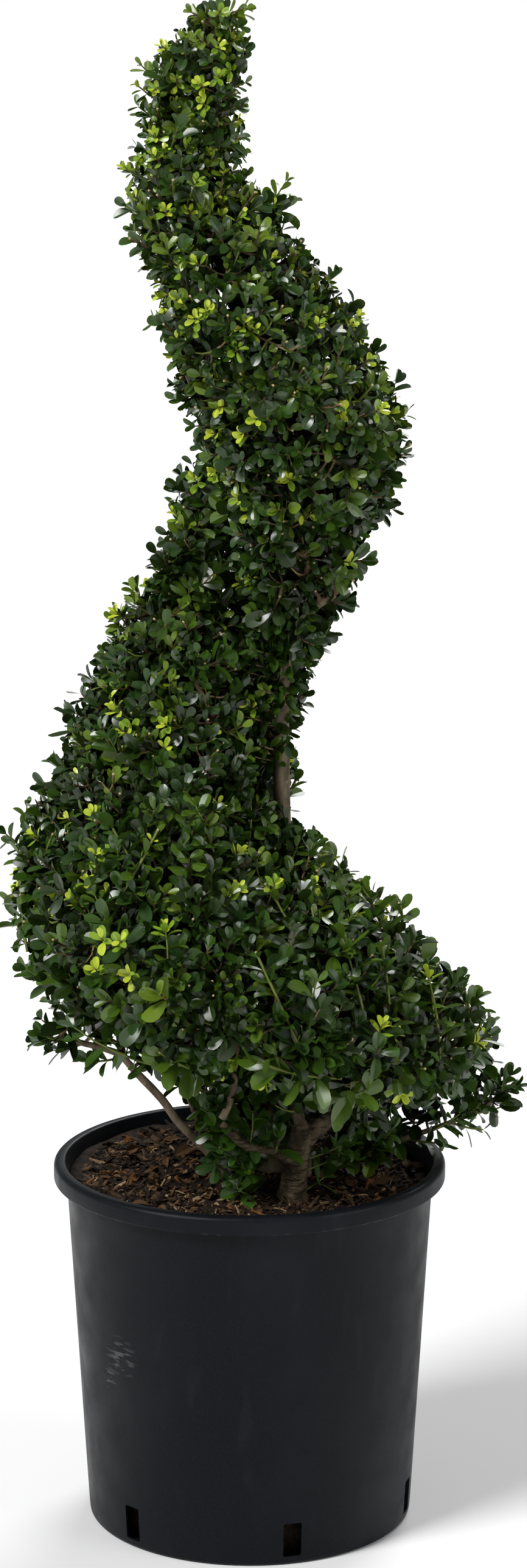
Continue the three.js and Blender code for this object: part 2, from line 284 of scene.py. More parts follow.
# Where something has rubbed the pot, and how far the marks reach.
SCUFFS = [((-0.128, -0.121, 0.205), 0.026), ((-0.140, -0.105, 0.178), 0.014), ((0.11, 0.135, 0.15), 0.03)]
SCUFF_LINE = (0.3560, 0.3578, 0.3588, 0.3606)  # heights of the worn line: it starts, is full, fades, ends
PATCHES = build_patches()
SPECKS = build_specks()


class Finish:
    """One material, with the nodes that most of them need."""

    def __init__(self, name, color, roughness, specular=0.5):
        self.material = bpy.data.materials.new(name)
        self.material.use_nodes = True
        self.tree = self.material.node_tree
        self.shader = self.tree.nodes["Principled BSDF"]
        self.shader.inputs["Base Color"].default_value = (*color, 1)
        self.shader.inputs["Roughness"].default_value = roughness
        self.shader.inputs["Specular IOR Level"].default_value = specular
        self.material.diffuse_color = (*color, 1)
        self.place = None

    def coordinates(self, stretch=(1, 1, 1)):
        if not self.place:
            self.place = self.tree.nodes.new("ShaderNodeTexCoord").outputs["Object"]
        given = {"Scale": stretch, "Vector": self.place}
        return add_node(self.tree, "ShaderNodeMapping", given).outputs["Vector"]

    def group(self, group, vector, **values):
        node = add_node(self.tree, "ShaderNodeGroup", {"Vector": vector, **values}, node_tree=group)
        return node.outputs["Mask"]

    def noise(self, scale, detail=6.0, stretch=(1, 1, 1)):
        given = {"Scale": scale, "Detail": detail, "Vector": self.coordinates(stretch)}
        return add_node(self.tree, "ShaderNodeTexNoise", given).outputs["Fac"]

    def mix(self, mask, under, over):
        """A colour: under where the mask is 0, over where it is 1. Either may be a socket."""
        under, over = (c if isinstance(c, bpy.types.NodeSocket) else (*c, 1) for c in (under, over))
        given = {"Factor": mask, 6: under, 7: over}
        return add_node(self.tree, "ShaderNodeMix", given, data_type="RGBA").outputs[2]

    def near(self, spot, inner, outer):
        """1 within inner metres of a spot, down to 0 at outer."""
        given = {0: self.coordinates(), 1: spot}
        away = add_node(self.tree, "ShaderNodeVectorMath", given, operation="DISTANCE")
        return self.between(away.outputs["Value"], inner, outer, 1.0, 0.0)

    def between(self, value, low, high, to_low=0.0, to_high=1.0):
        given = {"Value": value, "From Min": low, "From Max": high, "To Min": to_low, "To Max": to_high}
        return add_node(self.tree, "ShaderNodeMapRange", given).outputs["Result"]

    def times(self, a, b):
        return add_node(self.tree, "ShaderNodeMath", {0: a, 1: b}, operation="MULTIPLY").outputs[0]

    def height(self):
        return add_node(self.tree, "ShaderNodeSeparateXYZ", {0: self.coordinates()}).outputs["Z"]

    def give(self, label, socket):
        """Links a socket to this input of the material's shader."""
        self.tree.links.new(socket, self.shader.inputs[label])

    def bump(self, height, distance, strength=1.0):
        given = {"Height": height, "Distance": distance, "Strength": strength}
        self.give("Normal", add_node(self.tree, "ShaderNodeBump", given).outputs["Normal"])


def pot_plastic():
    f = Finish("pot_plastic", (0.005, 0.006, 0.0085), 0.42, specular=0.11)
    body = f.mix(f.group(PATCHES, f.coordinates((1, 1, 0.5)), Scale=9.0, Cover=0.5, Softness=0.25),
                 (0.0030, 0.0040, 0.0058), (0.0066, 0.0076, 0.0104))
    dusty = f.group(PATCHES, f.coordinates((1, 1, 0.25)), Scale=38.0, Cover=0.42, Softness=0.12)
    body = f.mix(f.times(dusty, 0.3), body, (0.012, 0.0135, 0.017))
    grain = f.between(f.noise(900.0, 2.0), 0.42, 0.58, 0.0, 0.35)
    body = f.mix(grain, body, (0.0095, 0.0115, 0.0145))
    # Scuffs: a worn line where the rim's skirt ends, and patches of short scratches low down.
    z = f.height()
    starts, full, fades, ends = SCUFF_LINE
    line = f.times(f.between(z, starts, full), f.between(z, ends, fades))
    line = f.times(line, f.group(PATCHES, f.coordinates(), Scale=90.0, Cover=0.5, Softness=0.15))
    body = f.mix(f.times(line, 0.25), body, (0.08, 0.085, 0.09))
    for spot, reach in SCUFFS:
        scratch = f.group(PATCHES, f.coordinates((0.5, 0.5, 2.4)), Scale=110.0, Cover=0.47, Softness=0.06)
        scratch = f.times(scratch, f.near(spot, 0.3 * reach, reach))
        body = f.mix(f.times(scratch, 0.6), body, (0.085, 0.09, 0.095))
    f.give("Base Color", body)
    f.give("Roughness", f.between(f.noise(30.0), 0.3, 0.7, 0.34, 0.5))
    f.bump(f.noise(420.0, 3.0), 0.00012, 0.5)
    return f.material


def mulch_bed_finish():
    f = Finish("mulch_bed", (0.03, 0.017, 0.01), 0.95, specular=0.2)
    grain = f.between(f.noise(160.0), 0.35, 0.7)
    f.give("Base Color", f.mix(grain, (0.0045, 0.0028, 0.0018), (0.030, 0.0175, 0.009)))
    f.bump(f.noise(320.0), 0.003)
    return f.material


def chip_finish(name, dark, light):
    f = Finish(name, light, 0.85, specular=0.15)
    f.give("Base Color", f.mix(f.between(f.noise(180.0, 4.0), 0.35, 0.65), dark, light))
    f.bump(f.noise(700.0, 3.0), 0.0004)
    return f.material


def bark_finish(name, dark, light, blotch, green=0.0, cracks=0.0):
    """Cracks run across the stem, as they do on old wood of this kind."""
    f = Finish(name, light, 0.84, specular=0.22)
    shade = tuple(0.38 * c for c in dark)
    base = f.mix(f.between(f.noise(90.0, 6.0, (1, 1, 0.45)), 0.36, 0.66), dark, light)
    base = f.mix(f.group(PATCHES, f.coordinates(), Scale=170.0, Cover=0.34, Softness=0.1), base, blotch)
    specks = f.group(SPECKS, f.coordinates((1, 1, 1.7)), Scale=230.0, Size=0.22)
    base = f.mix(f.times(specks, 0.7), base, shade)
    if cracks:
        across = f.between(f.noise(70.0, 5.0, (1, 1, 4.2)), 0.52, 0.6)
        base = f.mix(f.times(across, cracks), base, shade)
    if green:
        moss = f.group(PATCHES, f.coordinates(), Scale=45.0, Cover=green, Softness=0.2)
        base = f.mix(f.times(moss, 0.5), base, (0.085, 0.105, 0.04))
    f.give("Base Color", base)
    f.bump(f.noise(240.0, 7.0, (1, 1, 2.4 if cracks else 0.5)), 0.0022 if cracks else 0.0012)
    return f.material


def plain(name, color, roughness, specular=0.5):
    """A finish of one plain colour, for what gets its colours piece by piece."""
    return Finish(name, color, roughness, specular).material


PLASTIC = pot_plastic()
BED = mulch_bed_finish()
BARK = bark_finish("bark", (0.060, 0.047, 0.029), (0.185, 0.150, 0.098), (0.25, 0.215, 0.15), green=0.42)
STEM_BARK = bark_finish("stem_bark", (0.095, 0.072, 0.044), (0.235, 0.185, 0.122), (0.31, 0.26, 0.185))
OLD_BARK = bark_finish("old_bark", (0.034, 0.026, 0.014), (0.125, 0.096, 0.056), (0.175, 0.145, 0.095),
                       cracks=0.75)
YOUNG_BARK = bark_finish("young_bark", (0.12, 0.17, 0.03), (0.22, 0.30, 0.06), (0.30, 0.34, 0.12))
CUT_WOOD = plain("cut_wood", (0.24, 0.16, 0.10), 0.85, 0.3)

# Each kind of chip: its dark and its light colour, how many lie on a square metre, its least and most
# size, and how far it tilts.
CHIPS = {
    "bark_chips_dark": ((0.006, 0.0036, 0.0024), (0.026, 0.0155, 0.0095), 12000.0, 0.25, 1.0, 0.8),
    "bark_chips_brown": ((0.028, 0.0145, 0.0065), (0.088, 0.052, 0.026), 10500.0, 0.18, 0.95, 0.85),
    "bark_chips_tan": ((0.11, 0.068, 0.034), (0.34, 0.235, 0.13), 3400.0, 0.15, 0.85, 0.85),
    "bark_chips_orange": ((0.075, 0.030, 0.009), (0.20, 0.088, 0.027), 2300.0, 0.2, 1.0, 0.8),
}

# Leaves and twigs: colour, roughness and shine.
LEAF_FINISH = {
    # Partly painted shade: the deep and dark greens go to pairs far back from the tips and to the sprays
    # inside the plant, where the shade falls; older leaves are also darker in their own colour.
    "leaves_deep": ((0.0072, 0.0150, 0.0020), 0.29, 0.5),
    "leaves_dark": ((0.0150, 0.0330, 0.0034), 0.29, 0.5),
    # Painted reflection: a cooler, bluer green that stands for the bluish sheen on glossy leaves, dealt out
    # among the real tones.
    "leaves_cool": ((0.0210, 0.0520, 0.0090), 0.29, 0.5),
    "leaves_green": ((0.0280, 0.0690, 0.0052), 0.29, 0.5),
    # Painted light: the mid and light greens go more often to sprays high up and to those that face up.
    "leaves_mid": ((0.0570, 0.1080, 0.0090), 0.29, 0.5),
    "leaves_light": ((0.1150, 0.1800, 0.0140), 0.29, 0.5),
    "leaves_fresh": ((0.1900, 0.3100, 0.0200), 0.29, 0.5),
    # Partly painted light: young leaves are lime, but this one is set brighter for the glow of light through
    # them.
    "leaves_lime": ((0.4500, 0.5400, 0.0400), 0.29, 0.5),
    "leaves_fallen": ((0.0900, 0.0500, 0.0220), 0.9, 0.1),
}
TWIG_FINISH = {
    "twigs_brown": ((0.12, 0.078, 0.042), 0.75, 0.3),
    "twigs_green": ((0.125, 0.160, 0.026), 0.6, 0.4),
    "twigs_tan": ((0.22, 0.15, 0.075), 0.75, 0.3),
    "cut_ends": ((0.47, 0.36, 0.21), 0.8, 0.2),
}
for finishes in (LEAF_FINISH, TWIG_FINISH):
    for name, look in finishes.items():
        finishes[name] = plain(name, *look)

# ---- Geometry Nodes trees -----------------------------------------------------------------------


def node_tree(name, inputs):
    """A Geometry Nodes tree that takes and gives geometry, with these named inputs as well."""
    tree = bpy.data.node_groups.new(name, "GeometryNodeTree")
    tree.interface.new_socket(name="Geometry", in_out="INPUT", socket_type="NodeSocketGeometry")
    for label, kind in inputs.items():
        tree.interface.new_socket(name=label, in_out="INPUT", socket_type="NodeSocket" + kind)
    tree.interface.new_socket(name="Geometry", in_out="OUTPUT", socket_type="NodeSocketGeometry")
    return tree, tree.nodes.new("NodeGroupInput").outputs


def end_tree(tree, geometry, material):
    """Makes the instances real, gives them their material and hands them out."""
    real = add_node(tree, "GeometryNodeRealizeInstances", {"Geometry": geometry})
    finish = add_node(tree, "GeometryNodeSetMaterial", {
        "Geometry": real.outputs["Geometry"], "Material": material})
    add_node(tree, "NodeGroupOutput", {"Geometry": finish.outputs["Geometry"]})
    return tree


def attribute(tree, name, kind):
    named = add_node(tree, "GeometryNodeInputNamedAttribute", {"Name": name}, data_type=kind)
    return named.outputs["Attribute"]


def shapes_of(tree, collection):
    """The shapes in a collection, to pick from one by one."""
    shapes = add_node(tree, "GeometryNodeCollectionInfo", {
        "Collection": collection, "Separate Children": True, "Reset Children": True})
    return shapes.outputs["Instances"]


def build_leaf_tree():
    """A leaf on every point, turned, sized and shaped as the point's attributes say."""
    tree, given = node_tree("leaves_on_shoots", {"Leaf Shapes": "Collection", "Finish": "Material"})
    turn = add_node(tree, "FunctionNodeAxesToRotation", {
        "Primary Axis": attribute(tree, "facing", "FLOAT_VECTOR"),
        "Secondary Axis": attribute(tree, "along", "FLOAT_VECTOR"),
    }, primary_axis="Z", secondary_axis="Y")
    place = add_node(tree, "GeometryNodeInstanceOnPoints", {
        "Points": given["Geometry"], "Instance": shapes_of(tree, given["Leaf Shapes"]),
        "Pick Instance": True, "Instance Index": attribute(tree, "shape", "INT"),
        "Rotation": turn.outputs["Rotation"], "Scale": attribute(tree, "size", "FLOAT_VECTOR")})
    return end_tree(tree, place.outputs["Instances"], given["Finish"])


def build_twig_tree():
    """A round, tapering twig along every line of edges, as thick as its points' attribute says."""
    tree, given = node_tree("twigs_along_lines", {"Sides": "Int", "Finish": "Material"})
    line = add_node(tree, "GeometryNodeMeshToCurve", {"Mesh": given["Geometry"]})
    ring = add_node(tree, "GeometryNodeCurvePrimitiveCircle", {"Resolution": given["Sides"], "Radius": 1.0})
    tube = add_node(tree, "GeometryNodeCurveToMesh", {
        "Curve": line.outputs["Curve"], "Profile Curve": ring.outputs["Curve"],
        "Scale": attribute(tree, "thickness", "FLOAT"), "Fill Caps": True})
    smooth = add_node(tree, "GeometryNodeSetShadeSmooth", {"Geometry": tube.outputs["Mesh"]})
    return end_tree(tree, smooth.outputs["Geometry"], given["Finish"])


def build_chip_tree():
    """Chips strewn over a surface, lying nearly flat."""
    tree, given = node_tree("chips_on_bed", {
        "Chip Shapes": "Collection", "Density": "Float", "Seed": "Int", "Least Size": "Float",
        "Most Size": "Float", "Tilt": "Float", "Finish": "Material"})
    seed, tilt = given["Seed"], given["Tilt"]
    spots = add_node(tree, "GeometryNodeDistributePointsOnFaces", {
        "Mesh": given["Geometry"], "Density": given["Density"], "Seed": seed})
    minus = add_node(tree, "ShaderNodeMath", {0: tilt, 1: -1.0}, operation="MULTIPLY").outputs[0]
    low = add_node(tree, "ShaderNodeCombineXYZ", {"X": minus, "Y": minus})
    high = add_node(tree, "ShaderNodeCombineXYZ", {"X": tilt, "Y": tilt, "Z": 2 * math.pi})
    spin = add_node(tree, "FunctionNodeRandomValue", {
        "Min": low.outputs[0], "Max": high.outputs[0], "Seed": seed}, data_type="FLOAT_VECTOR")
    size = add_node(tree, "FunctionNodeRandomValue", {
        2: given["Least Size"], 3: given["Most Size"], "Seed": seed}, data_type="FLOAT")
    place = add_node(tree, "GeometryNodeInstanceOnPoints", {
        "Points": spots.outputs["Points"], "Instance": shapes_of(tree, given["Chip Shapes"]),
        "Pick Instance": True, "Rotation": spin.outputs[0], "Scale": size.outputs[1]})
    return end_tree(tree, place.outputs["Instances"], given["Finish"])


LEAF_TREE = build_leaf_tree()
TWIG_TREE = build_twig_tree()
CHIP_TREE = build_chip_tree()


def grow_nodes(obj, tree, **values):
    """Runs the tree on the object with these inputs and keeps the result as a plain mesh."""
    modifier = obj.modifiers.new(tree.name, "NODES")
    modifier.node_group = tree
    for item in tree.interface.items_tree:
        if item.in_out == "INPUT" and item.name in values:
            modifier[item.identifier] = values[item.name]
    return settle(obj)


def hidden_shapes(name, makers):
    """A collection of shapes for a tree to place, which is never shown itself."""
    group = bpy.data.collections.new(name)
    for index, (verts, faces) in enumerate(makers):
        mesh = bpy.data.meshes.new(f"{name}_{index}")
        mesh.from_pydata(verts, [], faces)
        mesh.polygons.foreach_set("use_smooth", [True] * len(mesh.polygons))
        group.objects.link(bpy.data.objects.new(f"{name}_{index}", mesh))
    return group


# ---- Leaves -------------------------------------------------------------------------------------

# A leaf lies along +Y from its stalk, one unit long, and its top faces +Z.
# Its outline: how far along, and half the width there.
LEAF_OUTLINE = ((0.06, 0.11), (0.20, 0.27), (0.40, 0.43), (0.62, 0.5), (0.83, 0.45), (0.96, 0.26))


def leaf_shape(fold, droop, curl, twist):
    """Two halves that meet in a crease, with the blade bent down along it and across it."""
    verts, faces = [], []
    for side in (-1, 1):
        start = len(verts)
        for along in [0] + [t for t, _ in LEAF_OUTLINE] + [1]:
            verts.append((0, along, -droop * along**2))
        for along, half in LEAF_OUTLINE:
            lift = fold * half - curl * half**2 + twist * side * half * along
            verts.append((side * half, along, -droop * along**2 + lift))
        rows = len(LEAF_OUTLINE)
        edge = start + rows + 2
        half_faces = [(start, edge, start + 1)]
        half_faces += [(start + i, edge + i - 1, edge + i, start + i + 1) for i in range(1, rows)]
        half_faces.append((start + rows, edge + rows - 1, start + rows + 1))
        faces += half_faces if side > 0 else [f[::-1] for f in half_faces]
    return verts, faces


LEAF_SHAPES = hidden_shapes("leaf_shape", [
    leaf_shape(0.20, 0.10, 0.15, 0.0),
    leaf_shape(0.38, 0.20, 0.30, 0.08),
    leaf_shape(0.12, -0.10, 0.35, -0.1),
    leaf_shape(0.48, 0.06, 0.20, 0.05),
    leaf_shape(-0.08, 0.26, 0.30, -0.06),
    leaf_shape(0.30, 0.32, 0.10, 0.12),
])
SHAPE_COUNT = len(LEAF_SHAPES.objects)


class Leaves:
    """Gathers leaves by colour, then makes each colour's joined pieces."""

    def __init__(self):
        self.rows = {name: [] for name in LEAF_FINISH}

    def add(self, kind, at, along, facing, length):
        """Arrays of places, directions, faces and lengths, all of one colour, or one colour each."""
        length = np.broadcast_to(length, len(at))
        along = unit(along)
        facing = square_to(along, facing)
        width = length * LEAF_ASPECT * RANDOM.uniform(0.86, 1.14, len(at))
        size = np.column_stack([width, length, length])
        shape = RANDOM.integers(0, SHAPE_COUNT, len(at))
        kinds = np.broadcast_to(kind, len(at))
        for name in self.rows:
            here = kinds == name
            if here.any():
                self.rows[name].append((at[here], along[here], facing[here], size[here], shape[here]))

    def pieces(self):
        for name, rows in self.rows.items():
            if not rows:
                continue
            at, along, facing, size, shape = (np.concatenate(part) for part in zip(*rows))
            order = np.argsort(at[:, 2], kind="stable")
            count = max(1, math.ceil(len(at) / PIECE_LEAVES))
            for index, chosen in enumerate(np.array_split(order, count), 1):
                points = mesh_object(f"{name}_{index}", at[chosen], [])
                for label, values in (("along", along), ("facing", facing), ("size", size)):
                    layer = points.data.attributes.new(label, "FLOAT_VECTOR", "POINT")
                    layer.data.foreach_set("vector", values[chosen].astype(np.float32).ravel())
                layer = points.data.attributes.new("shape", "INT", "POINT")
                layer.data.foreach_set("value", shape[chosen].astype(np.int32))
                grow_nodes(points, LEAF_TREE, **{"Leaf Shapes": LEAF_SHAPES, "Finish": LEAF_FINISH[name]})
                yield points, len(chosen)


class Lines:
    """Gathers lines of points, each with its thickness, that become twigs of one colour."""

    def __init__(self):
        self.points, self.radii, self.edges = [], [], []

    def add(self, path, radii):
        start = len(self.points)
        self.points += [tuple(p) for p in path]
        self.radii += [float(r) for r in radii]
        self.edges += [(k, k + 1) for k in range(start, start + len(path) - 1)]

    def piece(self, name, material, sides):
        made = mesh_object(name, self.points, [], edges=self.edges)
        made.data.attributes.new("thickness", "FLOAT", "POINT").data.foreach_set("value", self.radii)
        return grow_nodes(made, TWIG_TREE, Sides=sides, Finish=material)


# ---- Stems --------------------------------------------------------------------------------------

THICK = 0.007  # from this radius on, a stem has the old bark and more sides
FORK_VOXEL = 0.0016


def limb_path(name, step=0.004):
    return smooth_path(np.array(LIMBS[name]["path"]) * MM, step)


def tube(path, radii, sides, relief=0.0, lobes=0.0, seed=0.0, cap_inset=0.0):
    """A closed tube whose surface swells and splits a little, as bark does."""
    tangents = unit(np.gradient(path, axis=0))
    side = np.array([1.0, 0.0, 0.0])
    rings = []
    for point, ahead, radius in zip(path, tangents, radii):
        side = unit(side - ahead * np.dot(side, ahead))
        across = np.cross(ahead, side)
        ring = []
        for k in range(sides):
            a = 2 * math.pi * k / sides
            out = math.cos(a) * side + math.sin(a) * across
            grown = radius
            if relief:
                spot = Vector(out * radius * 1.6 + point)
                coarse = noise.noise(Vector((spot.x * 90, spot.y * 90, spot.z * 28 + seed)))
                fine = noise.noise(Vector((spot.x * 420, spot.y * 420, spot.z * 110 + seed)))
                grown += relief * (0.65 * coarse + 0.45 * fine)
            if lobes:
                grown *= 1 + lobes * math.sin(3 * a + point[2] * 18)
            ring.append(point + out * grown)
        rings.append(ring)
    verts = [v for ring in rings for v in ring]
    faces = []
    for i in range(len(rings) - 1):
        faces += belt(i * sides, (i + 1) * sides, sides)
    first, last = len(verts), len(verts) + 1
    verts += [np.mean(rings[0], axis=0), np.mean(rings[-1], axis=0) - tangents[-1] * cap_inset]
    end = (len(rings) - 1) * sides
    for k in range(sides):
        faces.append((first, (k + 1) % sides, k))
        faces.append((last, end + k, end + (k + 1) % sides))
    return verts, faces


def limb_radii(name, path):
    limb = LIMBS[name]
    share = np.linspace(0, 1, len(path))
    run = np.r_[0, np.cumsum(np.linalg.norm(np.diff(path, axis=0), axis=1))]
    thick, thin = limb["radii"]
    radii = thick + (thin - thick) * share
    flare = limb.get("flare", 0) * np.exp(-run / 0.016)
    return (radii + flare) * MM


def make_stems():
    """Every stem, with the relief of its bark."""
    fork = ["front_stem", "cut_stub", "front_bough", "elbow_bough_low"]
    for name in LIMBS:
        if name in fork:
            continue
        path = limb_path(name)
        radii = limb_radii(name, path)
        thick = radii.max() > THICK
        verts, faces = tube(path, radii, 22 if thick else 12, relief=0.10 * radii.mean() + 0.0002,
                            lobes=0.03, seed=len(name))
        finish = YOUNG_BARK if name == "green_shoot" else (BARK if thick else STEM_BARK)
        piece = smooth_shading(mesh_object(name + "_bark", verts, faces, finish))
        keep(piece, "young_bark" if name == "green_shoot" else "bark", name)
    make_front_fork(fork)


def make_front_fork(names):
    """The old front stem and what forks from it, grown together as one skin."""
    verts, faces = [], []
    for name in names:
        path = limb_path(name)
        some, more = tube(path, limb_radii(name, path), 20, lobes=0.04)
        faces += [tuple(i + len(verts) for i in f) for f in more]
        verts += some
    piece = mesh_object("front_stem_bark", verts, faces, OLD_BARK)
    join = piece.modifiers.new("join", "REMESH")
    join.mode = "VOXEL"
    join.voxel_size = FORK_VOXEL
    join.use_smooth_shade = True
    soften = piece.modifiers.new("soften", "SMOOTH")
    soften.iterations = 3
    settle(piece)
    mesh = piece.data
    for vertex in mesh.vertices:
        spot = vertex.co
        ring = noise.noise(Vector((spot.x * 60, spot.y * 60, spot.z * 260)))
        rough = noise.noise(spot * 330)
        knot = max(0.0, noise.noise(spot * 120 + Vector((7, 3, 1)))) ** 2
        vertex.co = spot + vertex.normal * (0.0011 * ring + 0.0006 * rough + 0.0028 * knot)
    mesh.materials.clear()
    mesh.materials.append(OLD_BARK)
    keep(smooth_shading(piece), "bark", *names)
    # The stub's saw cut, which dries darker than it was.
    path = limb_path("cut_stub")
    ahead = unit(path[-1] - path[-3])
    start = path[-1] - ahead * 0.0016
    end = path[-1] + ahead * 0.0006
    verts, faces = tube(np.array([start, end]), np.array([0.0079, 0.0077]), 20, cap_inset=0.0004)
    keep(smooth_shading(mesh_object("stub_cut_face", verts, faces, CUT_WOOD), False), "bark")


# ---- The clipped face of the ribbon -------------------------------------------------------------

MASSES = sorted(n for n in frame["nodes"] if "foliage" in n)
SEAM = 0.0035  # faces this near another mass are the cuts between the two
LOOKS = [Vector(v).normalized() for v in ((0.31, 0.22, 0.925), (-0.41, 0.13, -0.9))]  # along no face


class Skin:
    """The outer faces of the masses: where the shears went, without the cuts between masses."""

    def __init__(self):
        verts, tris, owner = [], [], []
        for index, name in enumerate(MASSES):
            mesh = frame["nodes"][name].data
            mesh.calc_loop_triangles()
            base = len(verts)
            verts += [v.co.copy() for v in mesh.vertices]
            tris += [tuple(base + i for i in t.vertices) for t in mesh.loop_triangles]
            owner += [index] * len(mesh.loop_triangles)
        whole = BVHTree.FromPolygons(verts, tris)
        trunk = limb_path("trunk", 0.02)
        points = np.array(verts)
        corners = points[np.array(tris)]
        middle = corners.mean(axis=1)
        cross = np.cross(corners[:, 1] - corners[:, 0], corners[:, 2] - corners[:, 0])
        area = np.linalg.norm(cross, axis=1) / 2
        normal = unit(cross)
        shown = []
        for k, spot in enumerate(middle):
            near = whole.find_nearest_range(Vector(spot), SEAM)
            seam = any(owner[hit[2]] != owner[k] for hit in near)
            core = trunk[np.abs(trunk[:, 2] - spot[2]).argmin()]
            inward = core[:2] - spot[:2]
            reach = np.linalg.norm(inward)
            in_core = reach < 0.03 and np.dot(normal[k][:2], inward) > 0.3 * reach
            shown.append(not seam and not in_core and area[k] > 0)
        shown = np.array(shown)
        self.whole = whole
        self.corners, self.normal, self.area = corners[shown], normal[shown], area[shown]
        flat = [tuple(range(3 * k, 3 * k + 3)) for k in range(len(self.corners))]
        self.tree = BVHTree.FromPolygons([Vector(v) for v in self.corners.reshape(-1, 3)], flat)
        self.low = points.min(axis=0)
        self.high = points.max(axis=0)

    def scatter(self, count):
        face = RANDOM.choice(len(self.area), count, p=self.area / self.area.sum())
        a, b = RANDOM.random((2, count, 1))
        swap = (a + b) > 1
        a, b = np.where(swap, 1 - a, a), np.where(swap, 1 - b, b)
        corner = self.corners[face]
        spots = corner[:, 0] + a * (corner[:, 1] - corner[:, 0]) + b * (corner[:, 2] - corner[:, 0])
        return spots, self.normal[face]

    def depths(self, spots):
        return np.array([self.depth(Vector(spot)) for spot in spots])

    def depth(self, spot):
        """How far under the clipped face a place is, or -1 outside every mass."""
        for look in LOOKS:
            crossings, start = 0, spot.copy()
            while (hit := self.whole.ray_cast(start, look))[0] is not None and crossings < 60:
                crossings += 1
                start = hit[0] + look * 1e-5
            if crossings % 2 == 0:
                return -1.0
        return self.tree.find_nearest(spot)[3]


def spread_out(spots, spacing):
    """Indices of spots that keep their distance from each other. spacing is one value or one each."""
    spacing = np.broadcast_to(spacing, len(spots))
    cell = float(spacing.max())
    cells, chosen = {}, []
    for index, spot in enumerate(spots):
        key = tuple((spot // cell).astype(int))
        clear = True
        for dx in (-1, 0, 1):
            for dy in (-1, 0, 1):
                for dz in (-1, 0, 1):
                    for other in cells.get((key[0] + dx, key[1] + dy, key[2] + dz), ()):
                        if np.sum((spots[other] - spot) ** 2) < spacing[index] ** 2:
                            clear = False
        if clear:
            chosen.append(index)
            cells.setdefault(key, []).append(index)
    return np.array(chosen)


# ---- Boughs that grow from the stems ------------------------------------------------------------


class Boughs:
    """The branching frame inside the masses. Each new point grows from the best older one near it."""

    def __init__(self, skin):
        self.at, self.parent = [], []
        for name in LIMBS:
            path = limb_path(name, 0.016)
            for k, spot in enumerate(path):
                if skin.depth(Vector(spot)) > 0 or k >= len(path) - 2:
                    self.at.append(spot)
                    self.parent.append(-1)
        self.roots = len(self.at)
        tries = skin.low + RANDOM.random((BOUGH_TRIES, 3)) * (skin.high - skin.low)
        tries = tries[skin.depths(tries) > BRANCH_DEPTH]
        tries = tries[spread_out(tries, BRANCH_SPACING)]
        roots = np.array(self.at)
        gap = np.linalg.norm(tries[:, None] - roots[None], axis=2).min(axis=1)
        for spot in tries[np.argsort(gap, kind="stable")]:
            have = np.array(self.at)
            reach = spot - have
            length = np.linalg.norm(reach, axis=1) + 1e-6
            sinking = np.maximum(0, -reach[:, 2] / length)
            cost = length * (1 + 0.8 * sinking) + np.where(length < 0.012, 1.0, 0.0)
            self.at.append(spot)
            self.parent.append(int(cost.argmin()))
        self.at = np.array(self.at)
        self.load = np.ones(len(self.at))
        for k in range(len(self.at) - 1, self.roots - 1, -1):
            self.load[self.parent[k]] += self.load[k]

    def radius(self, k):
        return min(0.0042, 0.00105 * self.load[k] ** 0.36)

    def lines(self):
        """Each bough from where it forks to its tip: a smooth path and its radii."""
        children = {}
        for k in range(self.roots, len(self.at)):
            children.setdefault(self.parent[k], []).append(k)
        starts = []
        for k, grown in children.items():
            grown.sort(key=lambda c: -self.load[c])
            first = 0 if k < self.roots else 1
            starts += [(k, c) for c in grown[first:]]
        for origin, first in starts:
            chain = [origin, first]
            while chain[-1] in children:
                chain.append(children[chain[-1]][0])
            path = smooth_path(self.at[chain], 0.011)
            wander = RANDOM.normal(0, 0.0011, path.shape)
            wander[0] = 0
            radii = np.linspace(self.radius(first), self.radius(chain[-1]), len(path))
            yield path + wander, radii


# ---- Shoots and their leaves --------------------------------------------------------------------

CLIPPED_BARE = 0.006  # how far a clipped shoot is bare at its tip
STALK = 0.001
TIP_SIZES = (0.62, 0.84)  # of the first pairs at a tip, beside a full leaf
FRESH_PAIRS = 4  # a fresh tip has this many small bright pairs, set close
FRESH_SIZES = (0.4, 0.5, 0.58, 0.64)
FRESH_BRIGHT = (0.75, 0.6, 0.4, 0.15)  # the share of each pair's leaves that are lime
FRESH_STEP = 0.0032


def side_of(direction):
    """Any direction square to each given one, turned at random about it."""
    return square_to(direction, unit(RANDOM.normal(size=direction.shape)))


def turned(side, axis, angle):
    angle = np.broadcast_to(angle, len(side))[:, None]
    return side * np.cos(angle) + np.cross(axis, side) * np.sin(angle)


def spray_kind(height, sky, luck):
    """The colour of a spray, by luck, with painted light: paler greens near the top of the plant and on faces
    that look up, where the light falls.
    """
    # Painted light: light grows with height and with how much the face looks up, and turns the spray a paler
    # green.
    light = 0.22 * rise(height, 0.9, 0.6) + 0.16 * np.clip(sky, 0, 1)
    level = luck - light
    names = np.array(["leaves_light", "leaves_mid", "leaves_green", "leaves_cool", "leaves_dark"])
    steps = np.array([0.0, 0.15, 0.45, 0.68])
    return names[np.searchsorted(steps, level)]


def on_bend(starts, bend, tips, t):
    """Places and directions at the shares t of the way along shoots that curve through bend."""
    t = np.asarray(t, float)[:, None] if np.ndim(t) else t
    at = (1 - t) ** 2 * starts + 2 * (1 - t) * t * bend + t**2 * tips
    return at, unit(2 * (1 - t) * (bend - starts) + 2 * t * (tips - bend))


def thin_places(spots):
    """1 where the plant is so thin that the sky shows through, at the low ends of the ribbon."""
    return rise(np.abs(spots[:, 0]), 0.09, 0.05) * fall(spots[:, 2], 0.70, 0.06)


